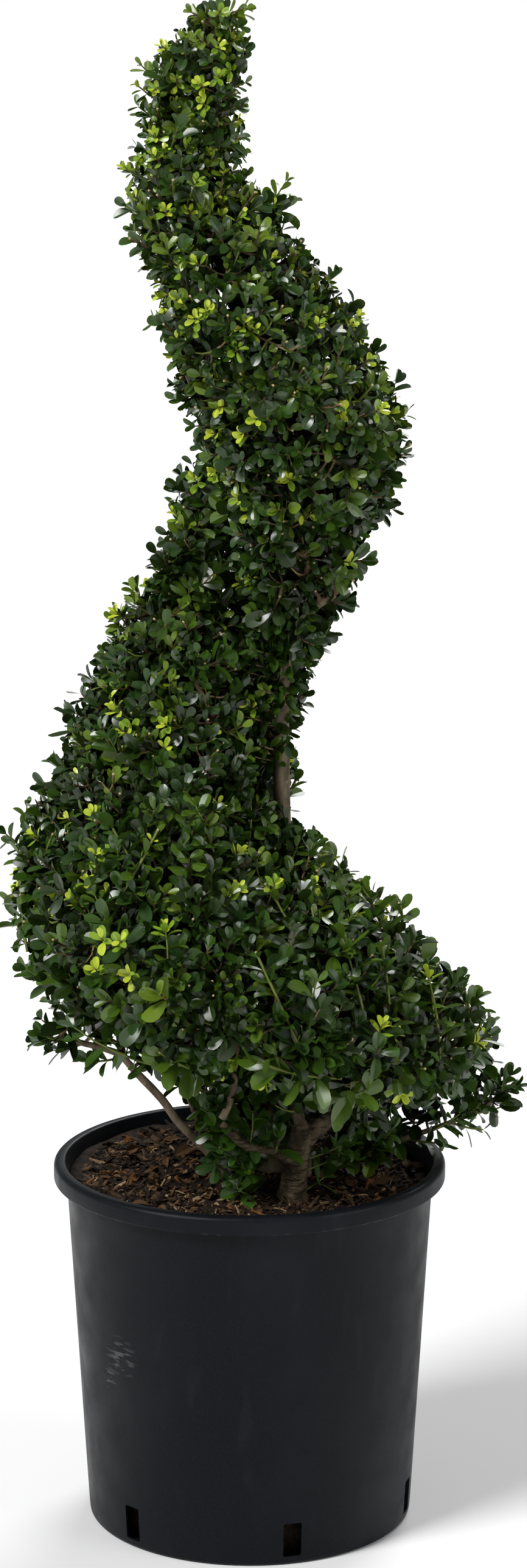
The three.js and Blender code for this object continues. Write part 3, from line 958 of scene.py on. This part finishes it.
class Shoots:
    """The twigs that reach the clipped face and carry the leaves."""

    def __init__(self, skin, boughs, leaves, lines):
        self.leaves, self.lines = leaves, lines
        self.wood = kdtree.KDTree(sum(len(p) for p, _ in boughs))
        for k, place in enumerate(p for path, _ in boughs for p in path):
            self.wood.insert(Vector(place), k)
        self.wood.balance()
        spots, normals = skin.scatter(FACE_TRIES)
        low = fall(spots[:, 2], 0.75, 0.3)
        high = rise(spots[:, 2], 1.1, 0.3)
        chosen = spread_out(spots, SHOOT_SPACING * (1 + 0.2 * low - 0.1 * high + 0.34 * thin_places(spots)))
        spots, normals = picked(chosen, spots, normals)
        # The face is tufted: it stands out in some places and is hollow in others.
        tufts = np.array([noise.noise(Vector(s) * 24) for s in spots])
        under = RANDOM.uniform(0.002, 0.018, len(spots)) - 0.019 * tufts
        self.grow(spots, normals, under + 0.011 * np.clip(-normals[:, 2], 0, 1))

    def grow(self, spots, normals, under, deep=False):
        """Shoots to places this far under the clipped face, from the nearest wood behind them."""
        count = len(spots)
        starts = np.array([self.foot(Vector(s), Vector(n)) for s, n in zip(spots, normals)])
        tips = spots - normals * under[:, None]
        if not deep:
            # Some have grown on since the last clipping.
            high = rise(spots[:, 2], 1.0, 0.3)
            grown = (RANDOM.random(count) < 0.15 + 0.09 * high)[:, None]
            most = (0.018 + 0.008 * high)[:, None]
            tips = tips + grown * (normals * 0.5 + UP * 0.5) * RANDOM.uniform(0.006, most, (count, 1))
        reach = unit(tips - starts)
        heading = unit(0.7 * normals + 0.6 * UP + 0.7 * reach + RANDOM.normal(0, 0.2, (count, 3)))
        bend = tips - heading * 0.55 * length_of(tips - starts)
        kinds = spray_kind(spots[:, 2], normals[:, 2], RANDOM.random(count))
        # Painted shade: sprays deep inside the plant get only the deep and dark greens.
        if deep:
            kinds = np.where(RANDOM.random(count) < 0.5, "leaves_deep", "leaves_dark")
        clipped = RANDOM.random(count) < (0.0 if deep else 0.17)
        self.shoots(starts, bend, tips, normals, kinds, clipped, fresh_share=0.0 if deep else 1.0)

    def grow_long(self, skin, count):
        """Long shoots low down, which lie just over the leaves and carry wider pairs."""
        spots, normals = skin.scatter(LONG_TRIES)
        low = (spots[:, 2] > 0.50) & (spots[:, 2] < 0.78) & (np.abs(normals[:, 2]) < 0.8)
        spots, normals = picked(low, spots, normals)
        rise = unit(UP - normals * normals[:, 2:3])
        sway = RANDOM.normal(0, 0.5, (len(spots), 1)) * np.cross(rise, normals)
        tips = spots + normals * RANDOM.uniform(-0.002, 0.010, (len(spots), 1))
        length = RANDOM.uniform(0.07, 0.12, (len(spots), 1))
        starts = tips - unit(rise + sway + 0.4 * normals) * length
        rooted = skin.depths(starts) > LONG_ROOT
        spots, normals, tips, starts = picked(rooted, spots, normals, tips, starts)
        chosen = spread_out(spots, LONG_SPACING)[:count]
        spots, normals, tips, starts = picked(chosen, spots, normals, tips, starts)
        bend = (starts + tips) / 2 + normals * 0.008 + RANDOM.normal(0, 0.003, starts.shape)
        kinds = np.where(RANDOM.random(len(spots)) < 0.6, "leaves_mid", "leaves_green")
        clipped = RANDOM.random(len(spots)) < 0.4
        self.shoots(starts, bend, tips, normals, kinds, clipped, leafy=0.09, step=0.0115, size=1.0,
                    thick=0.0017, fresh_share=0.5, wood="twigs_green", painted_shade_inward=False)

    def grow_sprigs(self, tips, size):
        """Sprigs to these places in millimetres, from the nearest stem behind them."""
        tips = np.array(tips, float) * MM
        facing = unit(tips * (1, 1, 0) + UP * 0.07)
        starts = np.array([self.foot(Vector(t), Vector(n)) for t, n in zip(tips, facing)])
        bend = (starts + tips) / 2 - UP * 0.1 * length_of(tips - starts)
        kinds = np.where(RANDOM.random(len(tips)) < 0.55, "leaves_green", "leaves_cool")
        self.shoots(starts, bend, tips, unit(facing + UP), kinds, np.zeros(len(tips), bool), leafy=0.036,
                    step=0.0095, size=size, thick=0.0015, fresh_share=0.25, wood="twigs_green",
                    painted_shade_inward=False)

    def grow_off_trunk(self, skin):
        """Sprays off the trunk itself where the ribbon leaves it: in the low groove, and near the top."""
        path = limb_path("trunk", 0.003)
        place = path[RANDOM.integers(0, len(path), TRUNK_TRIES)]
        place = place[((place[:, 2] > 0.78) & (place[:, 2] < 1.04)) | (place[:, 2] > 1.26)]
        count = len(place)
        high = place[:, 2] > 1.2
        turn = np.where(high, RANDOM.uniform(0, 360, count), RANDOM.uniform(150, 238, count))
        turn = np.radians(turn)
        out = unit(np.column_stack([np.cos(turn), np.sin(turn), np.full(count, 0.3)]))
        reach = np.where(high, RANDOM.uniform(0.014, 0.034, count), RANDOM.uniform(0.02, 0.055, count))
        tips = place + out * reach[:, None]
        place, tips, out = picked(skin.depths(tips) < 0.006, place, tips, out)
        place, tips, out = picked(spread_out(tips, 0.0125), place, tips, out)
        kinds = spray_kind(tips[:, 2], out[:, 2], RANDOM.random(len(tips)))
        bend = (place + tips) / 2 - UP * 0.002
        self.shoots(place, bend, tips, out, kinds, RANDOM.random(len(tips)) < 0.1, leafy=0.04, size=0.9)

    def foot(self, spot, normal):
        """The place on a bough that a shoot to this spot grows from."""
        best, least = None, 1e9
        for place, _, gap in self.wood.find_n(spot - normal * 0.03, 10):
            reach = spot - place
            size = reach.length
            if size < 1e-5:
                continue
            cost = gap + 0.02 * (1 - reach.dot(normal) / size) + 0.35 * max(0.0, 0.022 - size)
            if cost < least:
                best, least = place, cost
        return np.array(best)

    def shoots(self, starts, bend, tips, normals, kinds, clipped, leafy=SHOOT_LEAFY, step=LEAF_STEP,
               size=1.0, thick=0.0014, fresh_share=1.0, wood=None, painted_shade_inward=True):
        """Twigs along these curves, and the pairs of leaves on them from each tip back.

        Where a shoot is asked to, its older pairs, further in among the leaves, take darker greens than its
        tip: partly the older leaves' own colour, partly painted shade.
        """
        count = len(starts)
        length = np.linalg.norm(tips - starts, axis=1)
        self.twigs(starts, bend, tips, length, clipped, thick, wood)
        height = tips[:, 2]
        share = 0.10 + 0.20 * rise(height, 1.0, 0.35) - 0.04 * (height < 0.6)
        fresh = (RANDOM.random(count) < share * fresh_share) & ~clipped
        big = 1 + 0.24 * fall(height, 0.8, 0.25) - 0.15 * rise(height, 1.1, 0.3)
        vigour = RANDOM.normal(size, 0.13, count) * big
        first = side_of(unit(tips - bend))
        back = np.where(clipped, CLIPPED_BARE, 0.0)
        for pair in range(math.ceil(leafy / step) + 2):
            t = 1 - back / np.maximum(length, 1e-4)
            live = (t > 0.1) & (back < leafy)
            at, axis = on_bend(starts, bend, tips, t)
            side = turned(square_to(axis, first), axis, math.pi / 2 * pair + RANDOM.normal(0, 0.2, count))
            open_angle = math.radians(30 + 11 * min(pair, 4)) + RANDOM.normal(0, 0.15, count)
            cos, sin = np.cos(open_angle)[:, None], np.sin(open_angle)[:, None]
            for way in (-1, 1):
                here = live & (RANDOM.random(count) < 0.94)
                spread = way * side
                along = unit(cos * axis + sin * spread + RANDOM.normal(0, 0.1, (count, 3)))
                facing = sin * axis - cos * spread + 0.35 * UP + 0.4 * normals
                facing = facing + RANDOM.normal(0, 0.14, (count, 3))
                small = TIP_SIZES[pair] if pair < len(TIP_SIZES) else 1.0
                leaf = LEAF_LENGTH * vigour * small * RANDOM.uniform(0.84, 1.12, count)
                tint = kinds.copy()
                # Painted shade, partly the older leaves' own colour: pairs further back from the tip, in
                # among the leaves, are dealt the dark and then the deep green.
                if pair > 2 and painted_shade_inward:
                    tint = np.where(RANDOM.random(count) < 0.5, "leaves_dark", tint)
                if pair > 4 and painted_shade_inward:
                    tint = np.where(RANDOM.random(count) < 0.5, "leaves_deep", tint)
                if pair < FRESH_PAIRS:
                    leaf = np.where(fresh, LEAF_LENGTH * FRESH_SIZES[pair] * big, leaf)
                    bright = RANDOM.random(count) < FRESH_BRIGHT[pair]
                    tint = np.where(fresh, np.where(bright, "leaves_lime", "leaves_fresh"), tint)
                stalk = at[here] + STALK * spread[here]
                self.leaves.add(tint[here], stalk, along[here], facing[here], leaf[here])
            ahead = np.where(fresh & (pair < FRESH_PAIRS), FRESH_STEP, step)
            back = back + ahead * RANDOM.uniform(0.8, 1.2, count)

    def twigs(self, starts, bend, tips, length, clipped, thick, wood):
        """One twig along each curve: of one kind of wood, or of each kind by luck. Cut tips show pale."""
        pick = RANDOM.random(len(starts))
        for a, b, c, size, luck, cut in zip(starts, bend, tips, length, pick, clipped):
            steps = 3 + int(size > 0.05)
            path, _ = on_bend(a, b, c, np.linspace(0, 1, steps + 1))
            name = wood or ("twigs_brown" if luck < 0.45 else ("twigs_green" if luck < 0.8 else "twigs_tan"))
            thin = 0.0013 if cut else 0.0007
            self.lines[name].add(path, np.linspace(thick, thin, steps + 1))
            if cut:
                ahead = unit(path[-1] - path[-2])
                ends = [path[-1] - ahead * 0.0004, path[-1] + ahead * 0.0011]
                self.lines["cut_ends"].add(ends, [0.0014, 0.00125])


def fill_inside(skin, shoots, boughs):
    """Older sprays deeper in, which close the view through the plant. Their leaves are all deep and dark
    green, painted shade for the inside of the plant.
    """
    spots = np.array([(a + b) / 2 for path, _ in boughs for a, b in zip(path[:-1], path[1:])])
    spots = np.vstack([spots, spots, spots]) + RANDOM.normal(0, 0.009, (3 * len(spots), 3))
    spots = spots[(skin.depths(spots) > 0.016) & (RANDOM.random(len(spots)) > 0.93 * thin_places(spots))]
    spots = spots[spread_out(spots, 0.019)]
    outward = unit(RANDOM.normal(0, 1, spots.shape) + 0.8 * UP)
    shoots.grow(spots, outward, np.zeros(len(spots)), deep=True)


# Where sprigs reach to, low among the stems and at the ends of the two bare forks, in millimetres.
LOW_SPRIGS = [
    (-62, -92, 512), (-50, -102, 524), (-34, -110, 506), (-46, -104, 486), (-22, -112, 494), (-60, -92, 484),
    (-32, -112, 466), (-48, -98, 458), (-18, -110, 474), (-24, -106, 444), (-42, -94, 434), (-30, -100, 418),
    (-14, -102, 408), (-36, -90, 402), (-20, -96, 386), (-4, -100, 396), (-12, -88, 372),
    (14, -116, 482), (26, -114, 466), (4, -114, 458), (18, -110, 442), (30, -108, 430), (8, -106, 424),
    (60, -104, 502), (76, -92, 496), (100, -66, 414), (90, -62, 398), (106, -44, 404), (120, -34, 420),
    (92, -50, 386),
    (128, -14, 396), (146, -22, 414), (120, 8, 384), (10, 98, 420), (-84, 62, 448), (60, 84, 404),
]
FORK_SPRIGS = [
    (-180, -112, 546), (-206, -92, 548), (-206, -108, 536), (-194, -98, 518), (-166, -102, 508),
    (-216, -98, 526), (-148, -104, 540), (232, 34, 438), (246, 2, 446), (258, 40, 450),
    (266, 12, 460), (262, 20, 426), (214, -4, 424), (272, 26, 444), (240, 20, 400),
    (222, 40, 412), (200, 2, 392),
]


def fallen_leaves(leaves):
    """Old leaves lying on the potting mix."""
    count = FALLEN
    turn = RANDOM.uniform(0, 2 * math.pi, count)
    out = np.sqrt(RANDOM.uniform(0.02, 1, count)) * (SOIL_RADIUS - 0.02)
    at = np.column_stack([out * np.cos(turn), out * np.sin(turn), np.zeros(count)])
    at[:, 2] = [soil_height(x, y) + 0.003 for x, y, _ in at]
    along = unit(RANDOM.normal(0, 1, (count, 3)) * (1, 1, 0.15))
    facing = UP + RANDOM.normal(0, 0.3, (count, 3))
    leaves.add("leaves_fallen", at, along, facing, LEAF_LENGTH * RANDOM.uniform(0.7, 1.1, count))


def make_foliage():
    skin = Skin()
    boughs = list(Boughs(skin).lines())
    leaves = Leaves()
    lines = {name: Lines() for name in TWIG_FINISH}
    inner = Lines()
    for path, radii in boughs:
        inner.add(path, radii)
    wood = boughs + [(limb_path(name, 0.012), None) for name in LIMBS]
    shoots = Shoots(skin, wood, leaves, lines)
    shoots.grow_long(skin, LONG_SHOOTS)
    shoots.grow_sprigs(LOW_SPRIGS, 0.86)
    shoots.grow_sprigs(FORK_SPRIGS, 0.84)
    shoots.grow_off_trunk(skin)
    fallen_leaves(leaves)
    fill_inside(skin, shoots, boughs)
    keep(inner.piece("inner_boughs", TWIG_FINISH["twigs_brown"], 6), "bark", *MASSES)
    for name, gathered in lines.items():
        keep(gathered.piece(name, TWIG_FINISH[name], 4), "bark")
    total = 0
    for piece, count in leaves.pieces():
        keep(piece, "leaf")
        total += count
    print("boughs", len(boughs), "leaves", total)


# ---- Pot ----------------------------------------------------------------------------------------

POT_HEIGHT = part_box("pot")[1].z
RIM_RADIUS = 0.200
RIM_DEPTH = 0.019
NECK_RADIUS = 0.187
FOOT_RADIUS = 0.166
FOOT_ROUND = 0.005
WALL = 0.003
LIP = 0.012
FLOOR = 0.005
POT_SIDES = 240
SLOTS = 6
SLOT_FIRST = math.radians(-75)
SLOT_WIDTH = 0.019
SLOT_Z = (0.009, 0.045)
SLOT_CORNER = 0.002
SLOT_HOLLOW = 0.012  # how far the roots and mix have shrunk back behind the slots


def arc(middle, radius, start, end, steps):
    angles = np.radians(np.linspace(start, end, steps))
    return [(middle[0] + radius * math.cos(a), middle[1] + radius * math.sin(a)) for a in angles]


def inner_radius(z):
    """How far the inside of the wall is from the middle, this high up."""
    return FOOT_RADIUS - WALL + (NECK_RADIUS - FOOT_RADIUS) / (POT_HEIGHT - RIM_DEPTH) * z


def pot_profile():
    """The wall's outline from the middle of the underside, out, up, over the rim and back in."""
    under = POT_HEIGHT - RIM_DEPTH
    widening = NECK_RADIUS - FOOT_RADIUS
    outside = [(FOOT_RADIUS + widening * s, under * s) for s in (0.03, 0.25, 0.5, 0.75, 0.985)]
    inside = [(inner_radius(z), z) for z in (POT_HEIGHT - 0.010, 0.2, FLOOR)]
    return (
        [(0, 0), (0.08, 0), (0.14, 0)]
        + arc((FOOT_RADIUS - FOOT_ROUND, FOOT_ROUND), FOOT_ROUND, -90, -3, 6)
        + outside
        + [(NECK_RADIUS + 0.0012, under - 0.0008), (NECK_RADIUS + 0.004, under)]
        + arc((RIM_RADIUS - 0.0022, under + 0.0022), 0.0022, -90, 0, 5)
        + arc((RIM_RADIUS - 0.0055, POT_HEIGHT - 0.0055), 0.0055, 0, 90, 8)
        + arc((RIM_RADIUS - LIP + 0.0025, POT_HEIGHT - 0.0025), 0.0025, 90, 180, 5)
        + inside + [(0, FLOOR)]
    )


def lathe(profile, sides):
    """The profile turned about the upright axis."""
    verts, faces, rows = [], [], []
    for r, z in profile:
        if r < 1e-9:
            rows.append([len(verts)] * sides)
            verts.append((0, 0, z))
        else:
            rows.append(list(range(len(verts), len(verts) + sides)))
            verts += circle(r, z, sides)
    for low, high in zip(rows, rows[1:]):
        for k in range(sides):
            ring = [low[k], low[(k + 1) % sides], high[(k + 1) % sides], high[k]]
            face = [v for i, v in enumerate(ring) if v != ring[i - 1]]
            if len(face) > 2:
                faces.append(tuple(face))
    return verts, faces


def slot_outline():
    """An upright slot with round corners."""
    half = SLOT_WIDTH / 2 - SLOT_CORNER
    low, high = SLOT_Z[0] + SLOT_CORNER, SLOT_Z[1] - SLOT_CORNER
    corners = (((half, low), -90), ((half, high), 0), ((-half, high), 90), ((-half, low), 180))
    return [spot for middle, start in corners for spot in arc(middle, SLOT_CORNER, start, start + 90, 4)]


def make_pot():
    verts, faces = lathe(pot_profile(), POT_SIDES)
    piece = mesh_object("nursery_pot", verts, faces, PLASTIC)
    cutters = []
    for k in range(SLOTS):
        angle = SLOT_FIRST + k * 2 * math.pi / SLOTS
        out = np.array([math.cos(angle), math.sin(angle), 0])
        across = np.array([-math.sin(angle), math.cos(angle), 0])
        outline = slot_outline()
        near = [out * (FOOT_RADIUS - 0.02) + across * w + UP * z for w, z in outline]
        far = [out * (FOOT_RADIUS + 0.02) + across * w + UP * z for w, z in outline]
        n = len(outline)
        walls = [((i + 1) % n, n + (i + 1) % n, n + i, i) for i in range(n)]
        caps = [tuple(reversed(range(n))), tuple(range(n, 2 * n))]
        cutter = mesh_object(f"slot_cutter_{k}", near + far, walls + caps)
        cutters.append(cutter)
        cut = piece.modifiers.new(f"slot_{k}", "BOOLEAN")
        cut.operation = "DIFFERENCE"
        cut.solver = "EXACT"
        cut.object = cutter
    settle(piece)
    for cutter in cutters:
        bpy.data.objects.remove(cutter)
    piece.data.materials.clear()
    piece.data.materials.append(PLASTIC)
    smooth_shading(piece)
    piece.data.set_sharp_from_angle(angle=math.radians(38))
    keep(piece, "pot_plastic", "pot")


# ---- Potting mix --------------------------------------------------------------------------------

SOIL_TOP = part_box("potting_mix")[1].z
SOIL_RADIUS = inner_radius(SOIL_TOP) - 0.0006


def soil_height(x, y):
    """The mix dips a little towards the wall, and is banked up at the back left."""
    r = math.hypot(x, y)
    outer = min(1.0, max(0.0, (r - 0.09) / (SOIL_RADIUS - 0.09)))
    back_left = 0.5 + 0.5 * math.cos(math.atan2(y, x) - math.radians(140))
    dip = outer * (0.003 - 0.014 * back_left)
    lumps = 0.0028 * noise.noise(Vector((x * 26, y * 26, 3)))
    lumps += 0.0026 * noise.noise(Vector((x * 70, y * 70, 8)))
    return SOIL_TOP - dip - 0.0016 + lumps


def chip_shape(length, width, thick, bend, seed):
    """A splinter of bark: a bent, ragged sliver."""
    rough = np.random.default_rng(seed)
    rows = []
    for t in np.linspace(0, 1, 4):
        half = width / 2 * (0.45 + 0.55 * math.sin(math.pi * (0.12 + 0.76 * t))) * rough.uniform(0.75, 1.2)
        x = (t - 0.5) * length
        z = bend * (0.25 - (t - 0.5) ** 2) * length + rough.normal(0, thick * 0.25)
        rows.append([(x, -half, z), (x, half, z), (x, half * 0.85, z + thick), (x, -half * 0.85, z + thick)])
    verts = [v for row in rows for v in row]
    faces = [(3, 2, 1, 0), (12, 13, 14, 15)]
    for i in range(3):
        faces += belt(4 * i, 4 * i + 4, 4)
    return verts, faces


def make_soil():
    rings, sides = 30, 96
    verts = [(0, 0, soil_height(0, 0))]
    for i in range(1, rings + 1):
        verts += [(x, y, soil_height(x, y)) for x, y, _ in circle(SOIL_RADIUS * i / rings, 0, sides)]
    faces = [(0, 1 + k, 1 + (k + 1) % sides) for k in range(sides)]
    for i in range(rings - 1):
        faces += belt(1 + i * sides, 1 + (i + 1) * sides, sides, inward=True)
    inner = [f for f in faces if max(f) < 1 + (rings - 2) * sides]
    surface = mesh_object("soil_surface", verts, inner)
    # The same top closes the root ball, which fills the pot and shows dark through the drain slots.
    foot = FOOT_RADIUS - WALL
    above = 1 + (rings - 1) * sides
    body, points = list(faces), list(verts)
    shrunk = foot - SLOT_HOLLOW
    for r, z in ((foot, SLOT_Z[1] + 0.02), (shrunk, SLOT_Z[1] + 0.008), (shrunk, FLOOR + 0.0006)):
        start = len(points)
        points += circle(r, z, sides)
        body += belt(above, start, sides, inward=True)
        above = start
    body.append(tuple(above + k for k in reversed(range(sides))))
    ball = smooth_shading(mesh_object("potting_mix_body", points, body, BED))
    keep(ball, "potting_mix", "potting_mix")
    splinters = hidden_shapes("splinter", [
        chip_shape(0.024, 0.0075, 0.0014, 0.16, 1), chip_shape(0.034, 0.0048, 0.0014, 0.1, 2),
        chip_shape(0.015, 0.0095, 0.0017, 0.2, 3), chip_shape(0.027, 0.0030, 0.0012, 0.3, 4),
        chip_shape(0.010, 0.0050, 0.0016, 0.1, 5), chip_shape(0.007, 0.0040, 0.0020, 0.1, 6)])
    for shape in splinters.objects:
        shape.data.polygons.foreach_set("use_smooth", [False] * len(shape.data.polygons))
    for seed, (name, (dark, light, density, least, most, tilt)) in enumerate(CHIPS.items(), 3):
        bed = new_object(name, surface.data.copy())
        grow_nodes(bed, CHIP_TREE, **{
            "Chip Shapes": splinters, "Density": density, "Seed": seed, "Least Size": least,
            "Most Size": most, "Tilt": tilt, "Finish": chip_finish(name, dark, light)})
        keep(bed, "potting_mix")
    bpy.data.objects.remove(surface)


# ---- Camera, light and floor --------------------------------------------------------------------

CAMERA_AT = (0.0142, -4.065, 1.648)
CAMERA_DOWN = 12.224  # degrees
CAMERA_LENS = 95.24
ROOM_LIGHT = 0.26


def make_stage():
    camera = bpy.data.objects.new("camera", bpy.data.cameras.new("camera"))
    bpy.context.scene.collection.objects.link(camera)
    camera.location = CAMERA_AT
    camera.rotation_euler = (math.radians(90 - CAMERA_DOWN), 0, 0)
    camera.data.lens = CAMERA_LENS
    camera.data.sensor_width = 36
    camera.data.clip_end = 60
    bpy.context.scene.camera = camera

    floor = mesh_object("floor", [(-90, -90, 0), (90, -90, 0), (90, 90, 0), (-90, 90, 0)], [(0, 1, 2, 3)],
                        plain("floor", (0.8, 0.8, 0.8), 0.9, 0.0))

    # A dim room with broad soft lights in it, and a white wall all round as far as the camera sees.
    world = bpy.data.worlds.new("studio")
    world.use_nodes = True
    tree = world.node_tree
    room = tree.nodes["Background"]
    room.inputs["Color"].default_value = (1, 1, 1, 1)
    room.inputs["Strength"].default_value = ROOM_LIGHT
    wall = add_node(tree, "ShaderNodeBackground", {"Color": (1, 1, 1, 1), "Strength": 1.0})
    seen = add_node(tree, "ShaderNodeLightPath", {}).outputs["Is Camera Ray"]
    either = add_node(tree, "ShaderNodeMixShader", {"Fac": seen, 1: room.outputs[0], 2: wall.outputs[0]})
    tree.links.new(either.outputs[0], tree.nodes["World Output"].inputs["Surface"])
    bpy.context.scene.world = world
    bpy.context.scene.view_settings.view_transform = "Standard"

    def soft_light(name, comes_from, strength, spread):
        light = bpy.data.lights.new(name, "SUN")
        light.energy = strength
        light.angle = math.radians(spread)
        new_object(name, light).rotation_euler = Vector(comes_from).to_track_quat("Z", "Y").to_euler()

    soft_light("key", (-0.75, -0.6, 0.9), 3.0, 20)
    soft_light("fill", (0.95, -0.5, 0.45), 0.9, 35)
    soft_light("back", (0.35, 0.9, 0.8), 1.7, 30)


make_stage()
make_pot()
make_soil()
make_stems()
make_foliage()
